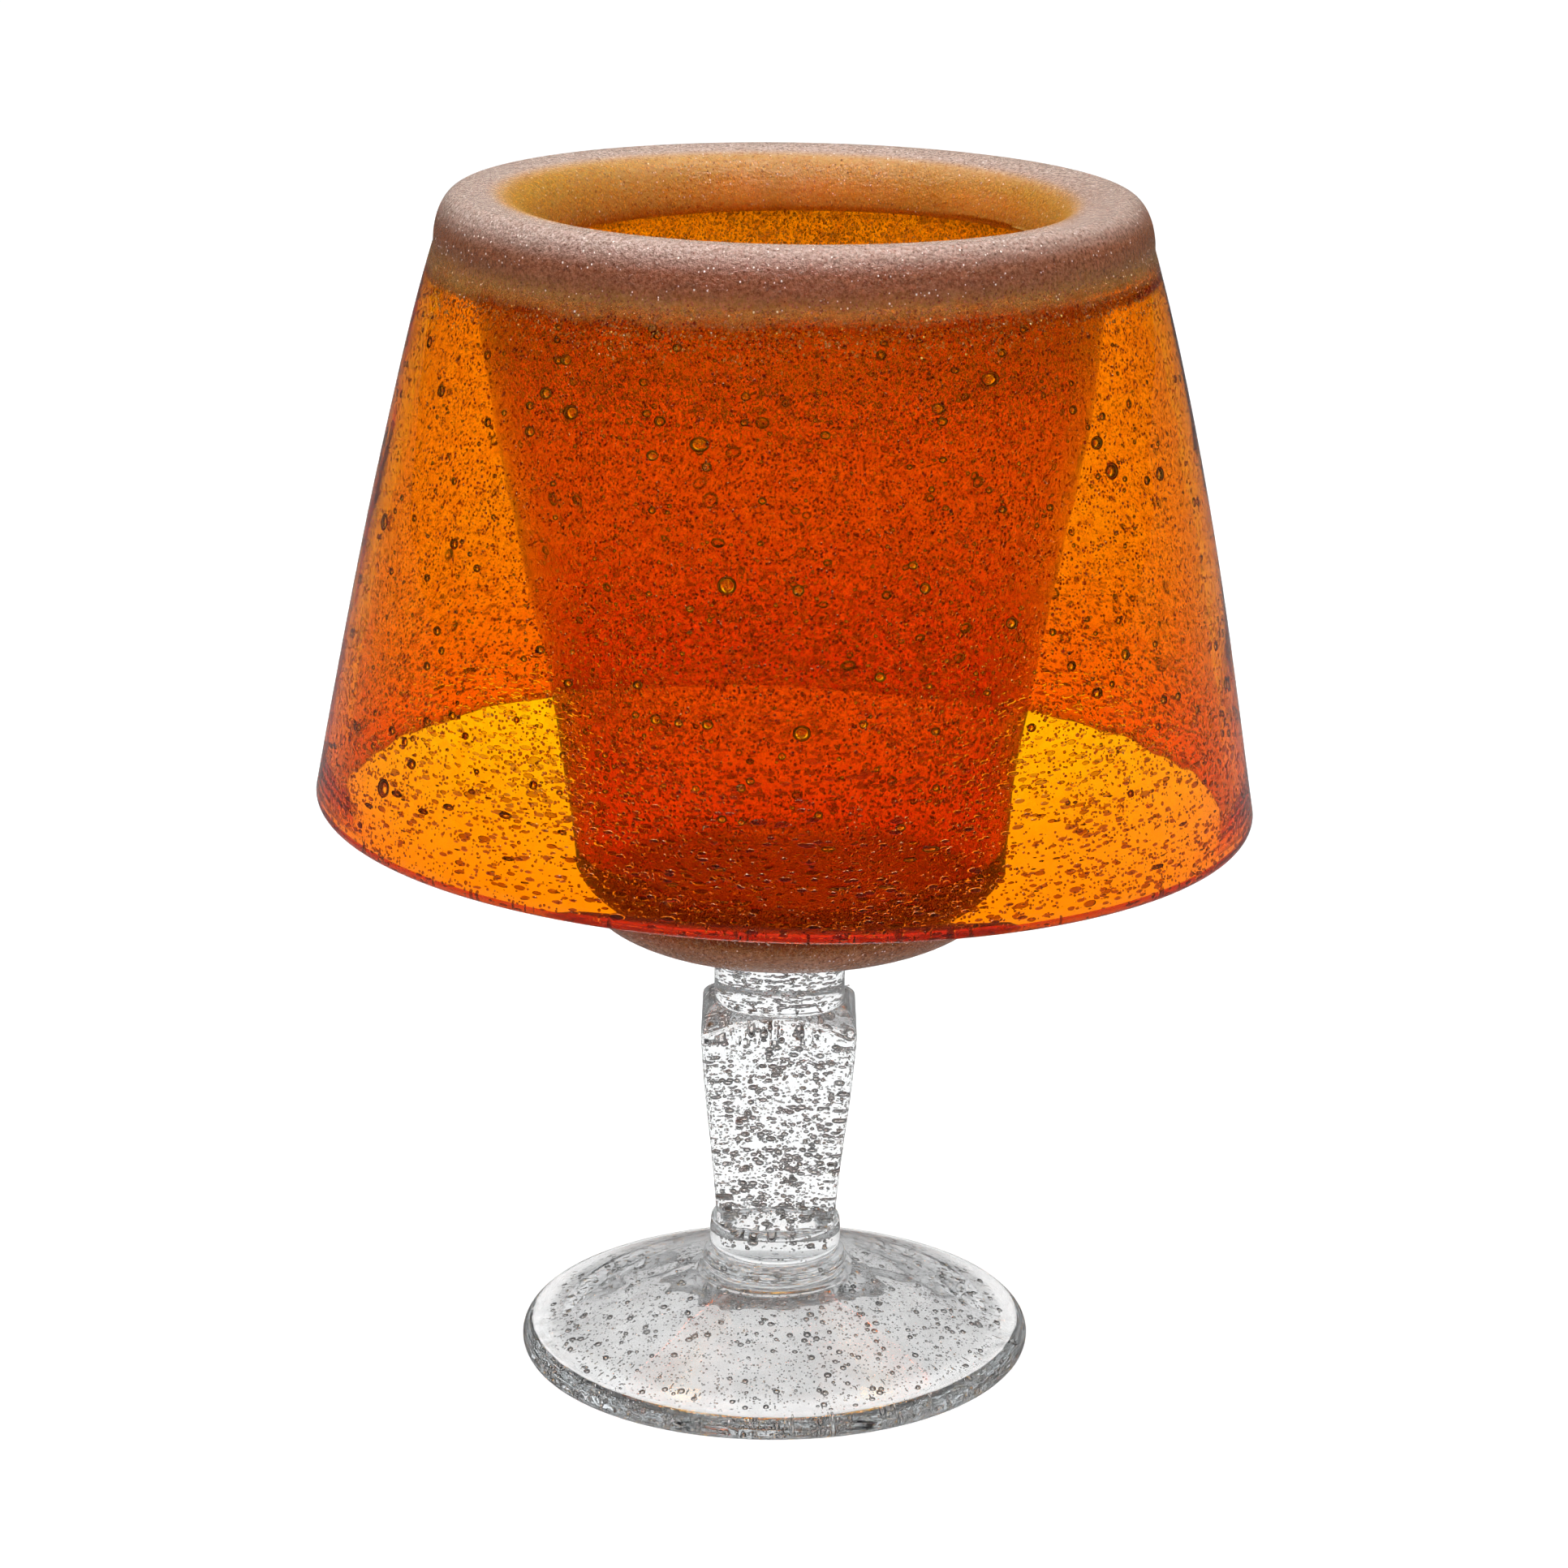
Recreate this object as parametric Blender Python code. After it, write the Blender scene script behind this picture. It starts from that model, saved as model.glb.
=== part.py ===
# Lamp-shaped candle holder in blown bubble glass.
#
# A clear stemmed foot carries an orange candle cup; a flared orange shade stands loose on the
# rim of the cup and lifts off. The stem is built the way it is made at the furnace: separate
# gathers (neck, square baluster, collar, merese, foot) fused end to end on one axis. As on any
# hand-made piece, nothing is quite true: the stem leans a little to +X between the level foot
# and the level cup, and the skirt of the shade leans the same way on its level seat.
#
# Frame: metres, +Z up, origin on the standing surface under the middle of the whole object.

import math

import bpy
import bmesh
from mathutils import Matrix, Vector

# ---------------------------------------------------------------- driving dimensions
GAP = 0.0003              # clearance kept between two pieces that touch

FOOT_X = -0.0023          # the foot's centre
LEAN = math.radians(1.0)  # lean of the stem, towards +X
PIVOT_Z = 0.0160          # height on the foot's axis where the lean starts
CUP_X = 0.0008            # the cup's centre; it sits a little off the stem
SHADE_X = 0.0013          # the centre of the shade's seat
SHADE_LEAN = math.radians(0.85)   # lean of the shade's skirt and crest over its level seat
EDGE_SLANT = math.tan(math.radians(0.85)) # extra slant of the skirt's bottom edge, low at +X
EDGE_DROP = 0.0004        # and how much lower its middle is than a square edge
EDGE_FADE = 0.0450        # height over which the slant dies out

# foot: domed disc with a rolled rim, hollow below, standing on a flat ground ring
FOOT_RADIUS = 0.0479
FOOT_RIM_HEIGHT = 0.0052
FOOT_RING_INNER = 0.0405
FOOT_RING_OUTER = 0.0455
FOOT_SEAT_RADIUS = 0.0150
FOOT_SEAT_Z = 0.0153
FOOT_HOLLOW_DEPTH = 0.0092
FOOT_DOME_POWER = 1.2

# merese: flat ring pressed on the foot; it also takes up the lean
MERESE_RADIUS = 0.0136
MERESE_TOP_Z = 0.0195

# collar under the square stem
COLLAR_RADIUS = 0.0123
COLLAR_TOP_Z = 0.0264

# square tapered baluster
BALUSTER_BOTTOM_HALF = 0.0109
BALUSTER_TOP_HALF = 0.0144
BALUSTER_SHOULDER_Z = 0.0654
BALUSTER_TOP_Z = 0.0692
BALUSTER_CORNER = 0.0024

# round neck under the cup
NECK_RADIUS = 0.0122
NECK_TOP_Z = 0.0800

# candle cup: bowl-bottomed, flaring tumbler
CUP_TOP_Z = 0.2090
CUP_BASE_RADIUS = 0.0394
CUP_RIM_RADIUS = 0.0562
CUP_TAPER_LOW_Z = 0.0880
CUP_TAPER_HIGH_Z = 0.2120
CUP_BOWL_Z = 0.0972       # where the bowl-shaped bottom starts
CUP_BOTTOM_Z = 0.0803
CUP_BOWL_POWER_R = 2.33   # the bowl is a flattened ellipse with these two exponents
CUP_BOWL_POWER_Z = 3.15
CUP_PAD_RADIUS = 0.0150   # flat under the cup where the neck is fused on
CUP_WALL = 0.0032
CUP_FLOOR_Z = 0.0885      # the flat floor the candle stands on
CUP_FLOOR_RADIUS = 0.0225

# lamp shade
SKIRT_R0 = 0.0861         # outer radius at the bottom edge ...
SKIRT_R1 = 0.0800         # ... a third of the way up
SKIRT_R2 = 0.0730         # ... two thirds
SKIRT_R3 = 0.0641         # ... and at the start of the shoulder
SKIRT_BOTTOM_Z = 0.1077
SKIRT_BEAD = 0.0021       # radius of the rounded bottom edge
SKIRT_WALL = 0.0034
SHOULDER_Z = 0.2111
CREST_RADIUS = 0.0592
CREST_Z = 0.2200
LIP_RADIUS = 0.0505       # where the lip bends down into the funnel
LIP_Z = 0.2187
THROAT_RADIUS = 0.0455
THROAT_Z = 0.2105
THROAT_EDGE = 0.0013      # radius of the rounded edge of the mouth
SEAT_Z = 0.2095           # underside of the massive rim, which rests on the cup

SEG_SHADE = 72
SEG_CUP = 56
SEG_FOOT = 56
SEG_STEM = 40


# ---------------------------------------------------------------- start from an empty scene
for old in list(bpy.data.objects):
    bpy.data.objects.remove(old, do_unlink=True)


def glass(name, colour, roughness):
    mat = bpy.data.materials.new(name)
    mat.use_nodes = True
    bsdf = mat.node_tree.nodes["Principled BSDF"]
    bsdf.inputs["Base Color"].default_value = (*colour, 1.0)
    bsdf.inputs["Roughness"].default_value = roughness
    bsdf.inputs["Metallic"].default_value = 0.0
    bsdf.inputs["Transmission Weight"].default_value = 1.0
    bsdf.inputs["IOR"].default_value = 1.5
    return mat


# ---------------------------------------------------------------- profile helpers
def arc(cx, cz, rx, rz, a0, a1, steps):
    """Points on an ellipse quarter or any part of it, angles in degrees."""
    pts = []
    for i in range(steps + 1):
        a = math.radians(a0 + (a1 - a0) * i / steps)
        pts.append((cx + rx * math.cos(a), cz + rz * math.sin(a)))
    return pts


def bezier(p0, p1, p2, p3, steps):
    pts = []
    for i in range(steps + 1):
        t = i / steps
        u = 1.0 - t
        pts.append(tuple(u * u * u * a + 3 * u * u * t * b + 3 * u * t * t * c + t * t * t * d
                         for a, b, c, d in zip(p0, p1, p2, p3)))
    return pts


def smooth(t):
    t = min(1.0, max(0.0, t))
    return t * t * (3.0 - 2.0 * t)


def clean(pts, eps=2.0e-5):
    """Drop points that coincide with the one before."""
    out = []
    for p in pts:
        if not out or math.hypot(p[0] - out[-1][0], p[1] - out[-1][1]) > eps:
            out.append(p)
    if len(out) > 2 and math.hypot(out[0][0] - out[-1][0], out[0][1] - out[-1][1]) < eps:
        out.pop()
    return out


def lathe(name, profile, segments, closed=False, place=None):
    """Turn a profile of (radius, height) points into one closed body.

    The profile runs from the bottom, up the outer side, to the top. A solid of revolution
    starts and ends on the axis; a ring shape is a closed loop. place(r, z, angle) may give
    each point its own position.
    """
    bm = bmesh.new()
    rings = []
    for r, z in profile:
        if r < 1.0e-6:
            co = place(0.0, z, 0.0) if place else Vector((0.0, 0.0, z))
            rings.append([bm.verts.new(co)])
            continue
        ring = []
        for k in range(segments):
            a = 2.0 * math.pi * k / segments
            co = place(r, z, a) if place else Vector((r * math.cos(a), r * math.sin(a), z))
            ring.append(bm.verts.new(co))
        rings.append(ring)
    pairs = [(i, i + 1) for i in range(len(rings) - 1)]
    if closed:
        pairs.append((len(rings) - 1, 0))
    for i, j in pairs:
        a, b = rings[i], rings[j]
        for k in range(segments):
            n = (k + 1) % segments
            if len(a) == 1:
                bm.faces.new((a[0], b[n], b[k]))
            elif len(b) == 1:
                bm.faces.new((a[k], a[n], b[0]))
            else:
                bm.faces.new((a[k], a[n], b[n], b[k]))
    bmesh.ops.recalc_face_normals(bm, faces=bm.faces)
    mesh = bpy.data.meshes.new(name)
    bm.to_mesh(mesh)
    bm.free()
    return mesh


def loft(name, rings):
    """Bridge equal rings of points, bottom to top, and cap both ends with flat faces."""
    bm = bmesh.new()
    made = [[bm.verts.new(p) for p in ring] for ring in rings]
    n = len(made[0])
    for a, b in zip(made, made[1:]):
        for k in range(n):
            m = (k + 1) % n
            bm.faces.new((a[k], a[m], b[m], b[k]))
    bm.faces.new(list(reversed(made[0])))
    bm.faces.new(made[-1])
    bmesh.ops.recalc_face_normals(bm, faces=bm.faces)
    mesh = bpy.data.meshes.new(name)
    bm.to_mesh(mesh)
    bm.free()
    return mesh


def add(name, mesh, material, parent=None, matrix=None):
    mesh.shade_smooth()
    mesh.set_sharp_from_angle(angle=math.radians(40.0))
    mesh.materials.append(material)
    obj = bpy.data.objects.new(name, mesh)
    bpy.context.scene.collection.objects.link(obj)
    if parent is not None:
        obj.parent = parent
    if matrix is not None:
        obj.matrix_local = matrix
    return obj


# ---------------------------------------------------------------- axes
# stem_axis: origin on the foot's axis where the lean starts, its +Z along the stem
stem_axis = bpy.data.objects.new("stem_axis", None)
bpy.context.scene.collection.objects.link(stem_axis)
stem_axis.location = (FOOT_X, 0.0, PIVOT_Z)
stem_axis.rotation_euler = (0.0, LEAN, 0.0)


def along(z):
    """A place on the leaning axis, z measured from the standing surface."""
    return Matrix.Translation((0.0, 0.0, z - PIVOT_Z))


def leaning(v, z0, angle):
    """A point turned by the lean about the level z0 of its own axis."""
    turned = Matrix.Rotation(angle, 3, 'Y') @ Vector((v.x, v.y, v.z - z0))
    turned.z += z0
    return turned


orange = glass("orange_glass", (1.0, 0.24, 0.01), 0.04)
orange_cup = glass("orange_cup_glass", (0.95, 0.18, 0.01), 0.04)
clear = glass("clear_seeded_glass", (0.93, 0.94, 0.94), 0.03)
clear_foot = glass("clear_foot_glass", (0.90, 0.91, 0.92), 0.03)


# ---------------------------------------------------------------- foot
def foot_top(r):
    """Height of the foot's upper surface between the rim and the seat."""
    rim = FOOT_RADIUS - FOOT_RIM_HEIGHT / 2.0
    full = (FOOT_SEAT_Z - FOOT_RIM_HEIGHT) / (1.0 - (FOOT_SEAT_RADIUS / rim) ** FOOT_DOME_POWER)
    return FOOT_RIM_HEIGHT + full * (1.0 - (r / rim) ** FOOT_DOME_POWER)


def foot_profile():
    half = FOOT_RIM_HEIGHT / 2.0
    rim = FOOT_RADIUS - half
    pts = []
    # hollow underside, from the axis out to the ground ring
    for i in range(8):
        t = i / 7
        r = FOOT_RING_INNER * t
        pts.append((r, FOOT_HOLLOW_DEPTH * (1.0 - t * t)))
    pts.append((FOOT_RING_OUTER - 0.0004, 0.0))
    # rolled rim
    pts += arc(rim, half, half, half, -58.0, 90.0, 7)
    # domed top, in to the seat of the merese
    for i in range(1, 9):
        r = rim + (FOOT_SEAT_RADIUS - rim) * i / 8
        pts.append((r, foot_top(r)))
    pts.append((0.0, FOOT_SEAT_Z))
    return clean(pts)


foot = add("foot", lathe("foot", foot_profile(), SEG_FOOT), clear_foot,
           matrix=Matrix.Translation((FOOT_X, 0.0, 0.0)))


# ---------------------------------------------------------------- merese (takes up the lean)
def merese_point(r, z, a):
    """Level at the bottom face, square to the leaning stem at the top face."""
    low = FOOT_SEAT_Z + GAP
    f = (z - low) / (MERESE_TOP_Z - low)
    level = Vector((r * math.cos(a), r * math.sin(a), z))
    return level.lerp(leaning(level, PIVOT_Z, LEAN), smooth(f))


def merese_profile():
    low = FOOT_SEAT_Z + GAP
    mid = (low + MERESE_TOP_Z) / 2.0
    half = (MERESE_TOP_Z - low) / 2.0
    pts = [(0.0, low)]
    pts += arc(MERESE_RADIUS - half, mid, half, half, -72.0, 72.0, 6)
    pts.append((0.0, MERESE_TOP_Z))
    fixed = []
    for r, z in pts:
        fixed.append((r, z))
    fixed[1] = (fixed[1][0], low)
    fixed[-2] = (fixed[-2][0], MERESE_TOP_Z)
    return clean(fixed)


merese = add("foot_merese", lathe("foot_merese", merese_profile(), SEG_STEM, place=merese_point),
             clear, matrix=Matrix.Translation((FOOT_X, 0.0, 0.0)))


# ---------------------------------------------------------------- collar
def collar_profile():
    low = MERESE_TOP_Z + GAP
    high = COLLAR_TOP_Z
    height = high - low
    pts = [(0.0, 0.0), (COLLAR_RADIUS - 0.0004, 0.0)]
    pts.append((COLLAR_RADIUS - 0.0001, height * 0.12))
    pts.append((COLLAR_RADIUS, height * 0.40))
    pts.append((COLLAR_RADIUS - 0.0001, height * 0.64))
    pts += arc(COLLAR_RADIUS - 0.0016, height - 0.0018, 0.0014, 0.0018, 12.0, 90.0, 4)
    pts.append((0.0, height))
    return clean(pts)


collar = add("stem_collar", lathe("stem_collar", collar_profile(), SEG_STEM), clear,
             parent=stem_axis, matrix=along(MERESE_TOP_Z + GAP))


# ---------------------------------------------------------------- baluster
def rounded_square(half, corner, z, steps=4):
    """Square section with rounded corners, as points round the section."""
    pts = []
    c = half - corner
    for q, (sx, sy) in enumerate(((1, 1), (-1, 1), (-1, -1), (1, -1))):
        for i in range(steps + 1):
            a = math.radians(90.0 * q + 90.0 * i / steps)
            pts.append((sx * c + corner * math.cos(a), sy * c + corner * math.sin(a), z))
    return pts


def baluster_half(z):
    """Half width of the square section: a taper that widens slightly faster near the top."""
    t = (z - COLLAR_TOP_Z) / (BALUSTER_SHOULDER_Z - COLLAR_TOP_Z)
    t = min(1.0, max(0.0, t))
    return BALUSTER_BOTTOM_HALF + (BALUSTER_TOP_HALF - BALUSTER_BOTTOM_HALF) * (t - 0.04 * math.sin(2 * math.pi * t))


def baluster_rings():
    low = COLLAR_TOP_Z + GAP
    rings = []
    for i in range(9):
        z = low + (BALUSTER_SHOULDER_Z - low) * i / 8
        rings.append(rounded_square(baluster_half(z), BALUSTER_CORNER, z - low))
    # rounded shoulder: the square draws in and its corners open out to the round neck
    rise = BALUSTER_TOP_Z - BALUSTER_SHOULDER_Z
    for i in range(1, 7):
        a = math.radians(90.0 * i / 6)
        half = BALUSTER_TOP_HALF - (BALUSTER_TOP_HALF - NECK_RADIUS) * (1.0 - math.cos(a)) - 0.0003 * math.sin(a)
        corner = BALUSTER_CORNER + (half * 0.96 - BALUSTER_CORNER) * smooth(i / 6)
        rings.append(rounded_square(half, corner, BALUSTER_SHOULDER_Z + rise * math.sin(a) - low))
    return rings


baluster = add("stem_baluster", loft("stem_baluster", baluster_rings()), clear,
               parent=stem_axis, matrix=along(COLLAR_TOP_Z + GAP))


# ---------------------------------------------------------------- neck
def neck_point(r, z, a):
    """Square to the leaning stem at its bottom face, level under the cup at its top face."""
    f = (z - BALUSTER_TOP_Z - GAP) / (NECK_TOP_Z - BALUSTER_TOP_Z - GAP)
    here = Vector((r * math.cos(a), r * math.sin(a), z))
    turned = leaning(here, PIVOT_Z, LEAN)
    level = here + Vector(((z - PIVOT_Z) * math.tan(LEAN), 0.0, 0.0))
    return turned.lerp(level, smooth(f))


def neck_profile():
    low = BALUSTER_TOP_Z + GAP
    height = NECK_TOP_Z - low
    pts = [(0.0, low), (NECK_RADIUS, low)]
    for i in range(1, 6):
        t = i / 6
        pts.append((NECK_RADIUS - 0.0001 * math.sin(math.pi * t) + 0.0003 * t * t, low + height * t))
    pts.append((NECK_RADIUS + 0.0003, low + height))
    pts.append((0.0, low + height))
    return clean(pts)


neck = add("stem_neck", lathe("stem_neck", neck_profile(), SEG_STEM, place=neck_point), clear,
           matrix=Matrix.Translation((FOOT_X, 0.0, 0.0)))


# ---------------------------------------------------------------- candle cup
def cup_outer(z):
    t = (z - CUP_TAPER_LOW_Z) / (CUP_TAPER_HIGH_Z - CUP_TAPER_LOW_Z)
    return CUP_BASE_RADIUS + (CUP_RIM_RADIUS - CUP_BASE_RADIUS) * smooth(t)


def cup_profile():
    base = CUP_BOTTOM_Z
    pts = [(0.0, base), (CUP_PAD_RADIUS, base)]
    # bowl-shaped bottom, out to the wall
    wide = cup_outer(CUP_BOWL_Z)
    depth = CUP_BOWL_Z - base
    start = math.acos((CUP_PAD_RADIUS / wide) ** (CUP_BOWL_POWER_R / 2.0))
    for i in range(1, 10):
        a = start * (1.0 - i / 9) ** 0.85
        r = wide * math.cos(a) ** (2.0 / CUP_BOWL_POWER_R)
        z = CUP_BOWL_Z - depth * math.sin(a) ** (2.0 / CUP_BOWL_POWER_Z)
        pts.append((r, z))
    # wall, up to the rim
    for i in range(1, 9):
        z = CUP_BOWL_Z + (CUP_TOP_Z - CUP_WALL / 2.0 - CUP_BOWL_Z) * i / 8
        pts.append((cup_outer(z), z))
    # rounded rim
    rim = cup_outer(CUP_TOP_Z) - CUP_WALL / 2.0
    pts += arc(rim, CUP_TOP_Z - CUP_WALL / 2.0, CUP_WALL / 2.0, CUP_WALL / 2.0, 0.0, 180.0, 6)[1:]
    # inner wall, down to the floor
    low = CUP_FLOOR_Z + 0.0130
    for i in range(1, 8):
        z = CUP_TOP_Z - CUP_WALL / 2.0 + (low - CUP_TOP_Z + CUP_WALL / 2.0) * i / 7
        pts.append((cup_outer(z) - CUP_WALL, z))
    corner = cup_outer(low) - CUP_WALL
    pts += arc(CUP_FLOOR_RADIUS, low, corner - CUP_FLOOR_RADIUS, low - CUP_FLOOR_Z, 0.0, -90.0, 5)[1:]
    pts.append((0.0, CUP_FLOOR_Z))
    return clean([(r, z - base) for r, z in pts])


cup = add("candle_cup", lathe("candle_cup", cup_profile(), SEG_CUP), orange_cup,
          matrix=Matrix.Translation((CUP_X, 0.0, CUP_BOTTOM_Z)))


# ---------------------------------------------------------------- lamp shade
def skirt_outer(z):
    """Outer radius of the skirt: the cubic through its four named radii."""
    nodes = (0.0, 1.0 / 3.0, 2.0 / 3.0, 1.0)
    radii = (SKIRT_R0, SKIRT_R1, SKIRT_R2, SKIRT_R3)
    low = SKIRT_BOTTOM_Z + SKIRT_BEAD
    t = (z - low) / (SHOULDER_Z - low)
    total = 0.0
    for i, ti in enumerate(nodes):
        w = 1.0
        for j, tj in enumerate(nodes):
            if i != j:
                w *= (t - tj) / (ti - tj)
        total += radii[i] * w
    return total


def shade_profile():
    low = SKIRT_BOTTOM_Z + SKIRT_BEAD
    pts = []
    # rounded bottom edge, from inside to outside
    pts += arc(SKIRT_R0 - SKIRT_BEAD, low, SKIRT_BEAD, SKIRT_BEAD, -180.0, 0.0, 6)
    # outer face of the skirt
    for i in range(1, 9):
        z = low + (SHOULDER_Z - low) * i / 8
        pts.append((skirt_outer(z), z))
    # shoulder, up to the crest
    pts += arc(CREST_RADIUS, SHOULDER_Z, SKIRT_R3 - CREST_RADIUS, CREST_Z - SHOULDER_Z, 0.0, 90.0, 6)[1:]
    # broad lip, falling gently inwards
    for i in range(1, 4):
        t = i / 3
        pts.append((CREST_RADIUS + (LIP_RADIUS - CREST_RADIUS) * t, CREST_Z + (LIP_Z - CREST_Z) * t * t))
    # funnel, down to the mouth
    slope = 2.0 * (CREST_Z - LIP_Z) / (CREST_RADIUS - LIP_RADIUS)
    pts += bezier((LIP_RADIUS, LIP_Z), (LIP_RADIUS - 0.0022, LIP_Z - 0.0022 * slope),
                  (THROAT_RADIUS + 0.0004, THROAT_Z + 0.0040), (THROAT_RADIUS, THROAT_Z), 6)[1:]
    # rounded edge of the mouth, which hangs a little way into the cup
    pts += arc(THROAT_RADIUS + THROAT_EDGE, THROAT_Z - 0.0002, THROAT_EDGE, THROAT_EDGE, 180.0, 270.0, 3)[1:]
    hang = THROAT_Z - 0.0002 - THROAT_EDGE
    pts.append((THROAT_RADIUS + 0.0030, hang))
    pts.append((THROAT_RADIUS + 0.0050, SEAT_Z))
    # flat seat on the rim of the cup, then the inner face of the skirt
    inner_top = skirt_outer(SEAT_Z) - SKIRT_WALL - 0.0006
    pts.append((inner_top - 0.0024, SEAT_Z))
    pts += arc(inner_top - 0.0024, SEAT_Z - 0.0024, 0.0024, 0.0024, 60.0, 0.0, 2)
    for i in range(1, 9):
        z = SEAT_Z - 0.0024 + (low + 0.0060 - SEAT_Z + 0.0024) * i / 8
        pts.append((skirt_outer(z) - SKIRT_WALL, z))
    return clean([(r, z - SEAT_Z) for r, z in pts])


def shade_point(r, z, a):
    """Level round the seat, leaning elsewhere, with the bottom edge cut on a slant."""
    level = Vector((r * math.cos(a), r * math.sin(a), z))
    turned = leaning(level, 0.0, SHADE_LEAN)
    on_seat = abs(z) < 0.00005 or (z < THROAT_Z - SEAT_Z and r < LIP_RADIUS and z > -0.0030)
    if on_seat:
        return Vector((turned.x, turned.y, z))
    edge = SKIRT_BOTTOM_Z - SEAT_Z
    f = smooth(1.0 - (z - edge) / EDGE_FADE)
    turned.z -= f * (EDGE_SLANT * turned.x + EDGE_DROP)
    return turned


shade = add("lamp_shade", lathe("lamp_shade", shade_profile(), SEG_SHADE, closed=True, place=shade_point),
            orange, matrix=Matrix.Translation((SHADE_X, 0.0, SEAT_Z)))
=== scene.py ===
import math

import bpy
import bmesh
import numpy as np
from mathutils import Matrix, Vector


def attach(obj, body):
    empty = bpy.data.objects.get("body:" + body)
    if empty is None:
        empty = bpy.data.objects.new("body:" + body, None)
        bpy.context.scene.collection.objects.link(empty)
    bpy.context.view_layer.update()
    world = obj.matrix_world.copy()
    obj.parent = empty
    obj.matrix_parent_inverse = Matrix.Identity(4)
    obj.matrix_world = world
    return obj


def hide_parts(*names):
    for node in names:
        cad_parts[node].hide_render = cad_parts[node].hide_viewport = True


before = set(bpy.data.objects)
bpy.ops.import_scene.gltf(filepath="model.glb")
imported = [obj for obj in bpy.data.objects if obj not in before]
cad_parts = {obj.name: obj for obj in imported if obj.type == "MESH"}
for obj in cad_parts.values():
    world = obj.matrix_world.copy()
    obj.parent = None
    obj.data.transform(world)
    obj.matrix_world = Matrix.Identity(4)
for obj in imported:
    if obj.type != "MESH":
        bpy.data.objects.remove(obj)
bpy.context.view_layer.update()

# ------------------------------------------------------------------ sizes shared with the CAD
FOOT_X, LEAN, PIVOT_Z = -0.0023, math.radians(1.0), 0.0160
CUP_X, SHADE_X, SHADE_LEAN = 0.0008, 0.0013, math.radians(0.85)
EDGE_SLANT, EDGE_DROP, EDGE_FADE = math.tan(math.radians(0.85)), 0.0004, 0.0450

FOOT_RADIUS, FOOT_RIM_HEIGHT = 0.0479, 0.0052
FOOT_RING_INNER, FOOT_RING_OUTER = 0.0405, 0.0455
FOOT_SEAT_RADIUS, FOOT_SEAT_Z, FOOT_HOLLOW_DEPTH, FOOT_DOME_POWER = 0.0150, 0.0153, 0.0092, 1.2
MERESE_RADIUS, MERESE_TOP_Z = 0.0136, 0.0195
COLLAR_RADIUS, COLLAR_TOP_Z = 0.0123, 0.0264
BALUSTER_BOTTOM_HALF, BALUSTER_TOP_HALF = 0.0109, 0.0144
BALUSTER_SHOULDER_Z, BALUSTER_TOP_Z, BALUSTER_CORNER = 0.0654, 0.0692, 0.0024
NECK_RADIUS, NECK_TOP_Z = 0.0122, 0.0800
CUP_TOP_Z, CUP_BASE_RADIUS, CUP_RIM_RADIUS = 0.2090, 0.0394, 0.0562
CUP_TAPER_LOW_Z, CUP_TAPER_HIGH_Z = 0.0880, 0.2120
CUP_BOWL_Z, CUP_BOTTOM_Z, CUP_BOWL_POWER_R, CUP_BOWL_POWER_Z = 0.0972, 0.0803, 2.33, 3.15
CUP_PAD_RADIUS, CUP_WALL, CUP_FLOOR_Z, CUP_FLOOR_RADIUS = 0.0150, 0.0032, 0.0885, 0.0225
SKIRT_R = (0.0861, 0.0800, 0.0730, 0.0641)
SKIRT_BOTTOM_Z, SKIRT_BEAD, SKIRT_WALL = 0.1077, 0.0021, 0.0034
SHOULDER_Z, CREST_RADIUS, CREST_Z = 0.2111, 0.0592, 0.2200
LIP_RADIUS, LIP_Z, THROAT_RADIUS, THROAT_Z, THROAT_EDGE = 0.0505, 0.2187, 0.0455, 0.2105, 0.0013
SEAT_Z = 0.2095

SEG = 288


# ------------------------------------------------------------------ small helpers
def smooth(t):
    t = np.clip(t, 0.0, 1.0)
    return t * t * (3.0 - 2.0 * t)


def arc(cx, cz, rx, rz, a0, a1, steps):
    a = np.radians(np.linspace(a0, a1, steps + 1))
    return np.stack([cx + rx * np.cos(a), cz + rz * np.sin(a)], 1)


def bezier(p0, p1, p2, p3, steps):
    t = np.linspace(0.0, 1.0, steps + 1)[:, None]
    u = 1.0 - t
    p0, p1, p2, p3 = (np.array(p, float) for p in (p0, p1, p2, p3))
    return u ** 3 * p0 + 3 * u * u * t * p1 + 3 * u * t * t * p2 + t ** 3 * p3


def join(*parts, closed=False, eps=1.0e-5):
    pts = np.concatenate([np.asarray(p, float).reshape(-1, 2) for p in parts])
    keep = [0]
    for i in range(1, len(pts)):
        if np.hypot(*(pts[i] - pts[keep[-1]])) > eps:
            keep.append(i)
    if closed and np.hypot(*(pts[keep[-1]] - pts[0])) < eps:
        keep.pop()
    return pts[keep]


def resample(pts, step, closed=False):
    """The same outline with points no further apart than step."""
    out = []
    n = len(pts)
    for i in range(n if closed else n - 1):
        a, b = pts[i], pts[(i + 1) % n]
        k = max(1, int(math.ceil(np.hypot(*(b - a)) / step)))
        for j in range(k):
            out.append(a + (b - a) * j / k)
    if not closed:
        out.append(pts[-1])
    return np.array(out)


def leaning(x, y, z, z0, angle):
    c, s = math.cos(angle), math.sin(angle)
    return x * c + (z - z0) * s, y, z0 - x * s + (z - z0) * c


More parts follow.
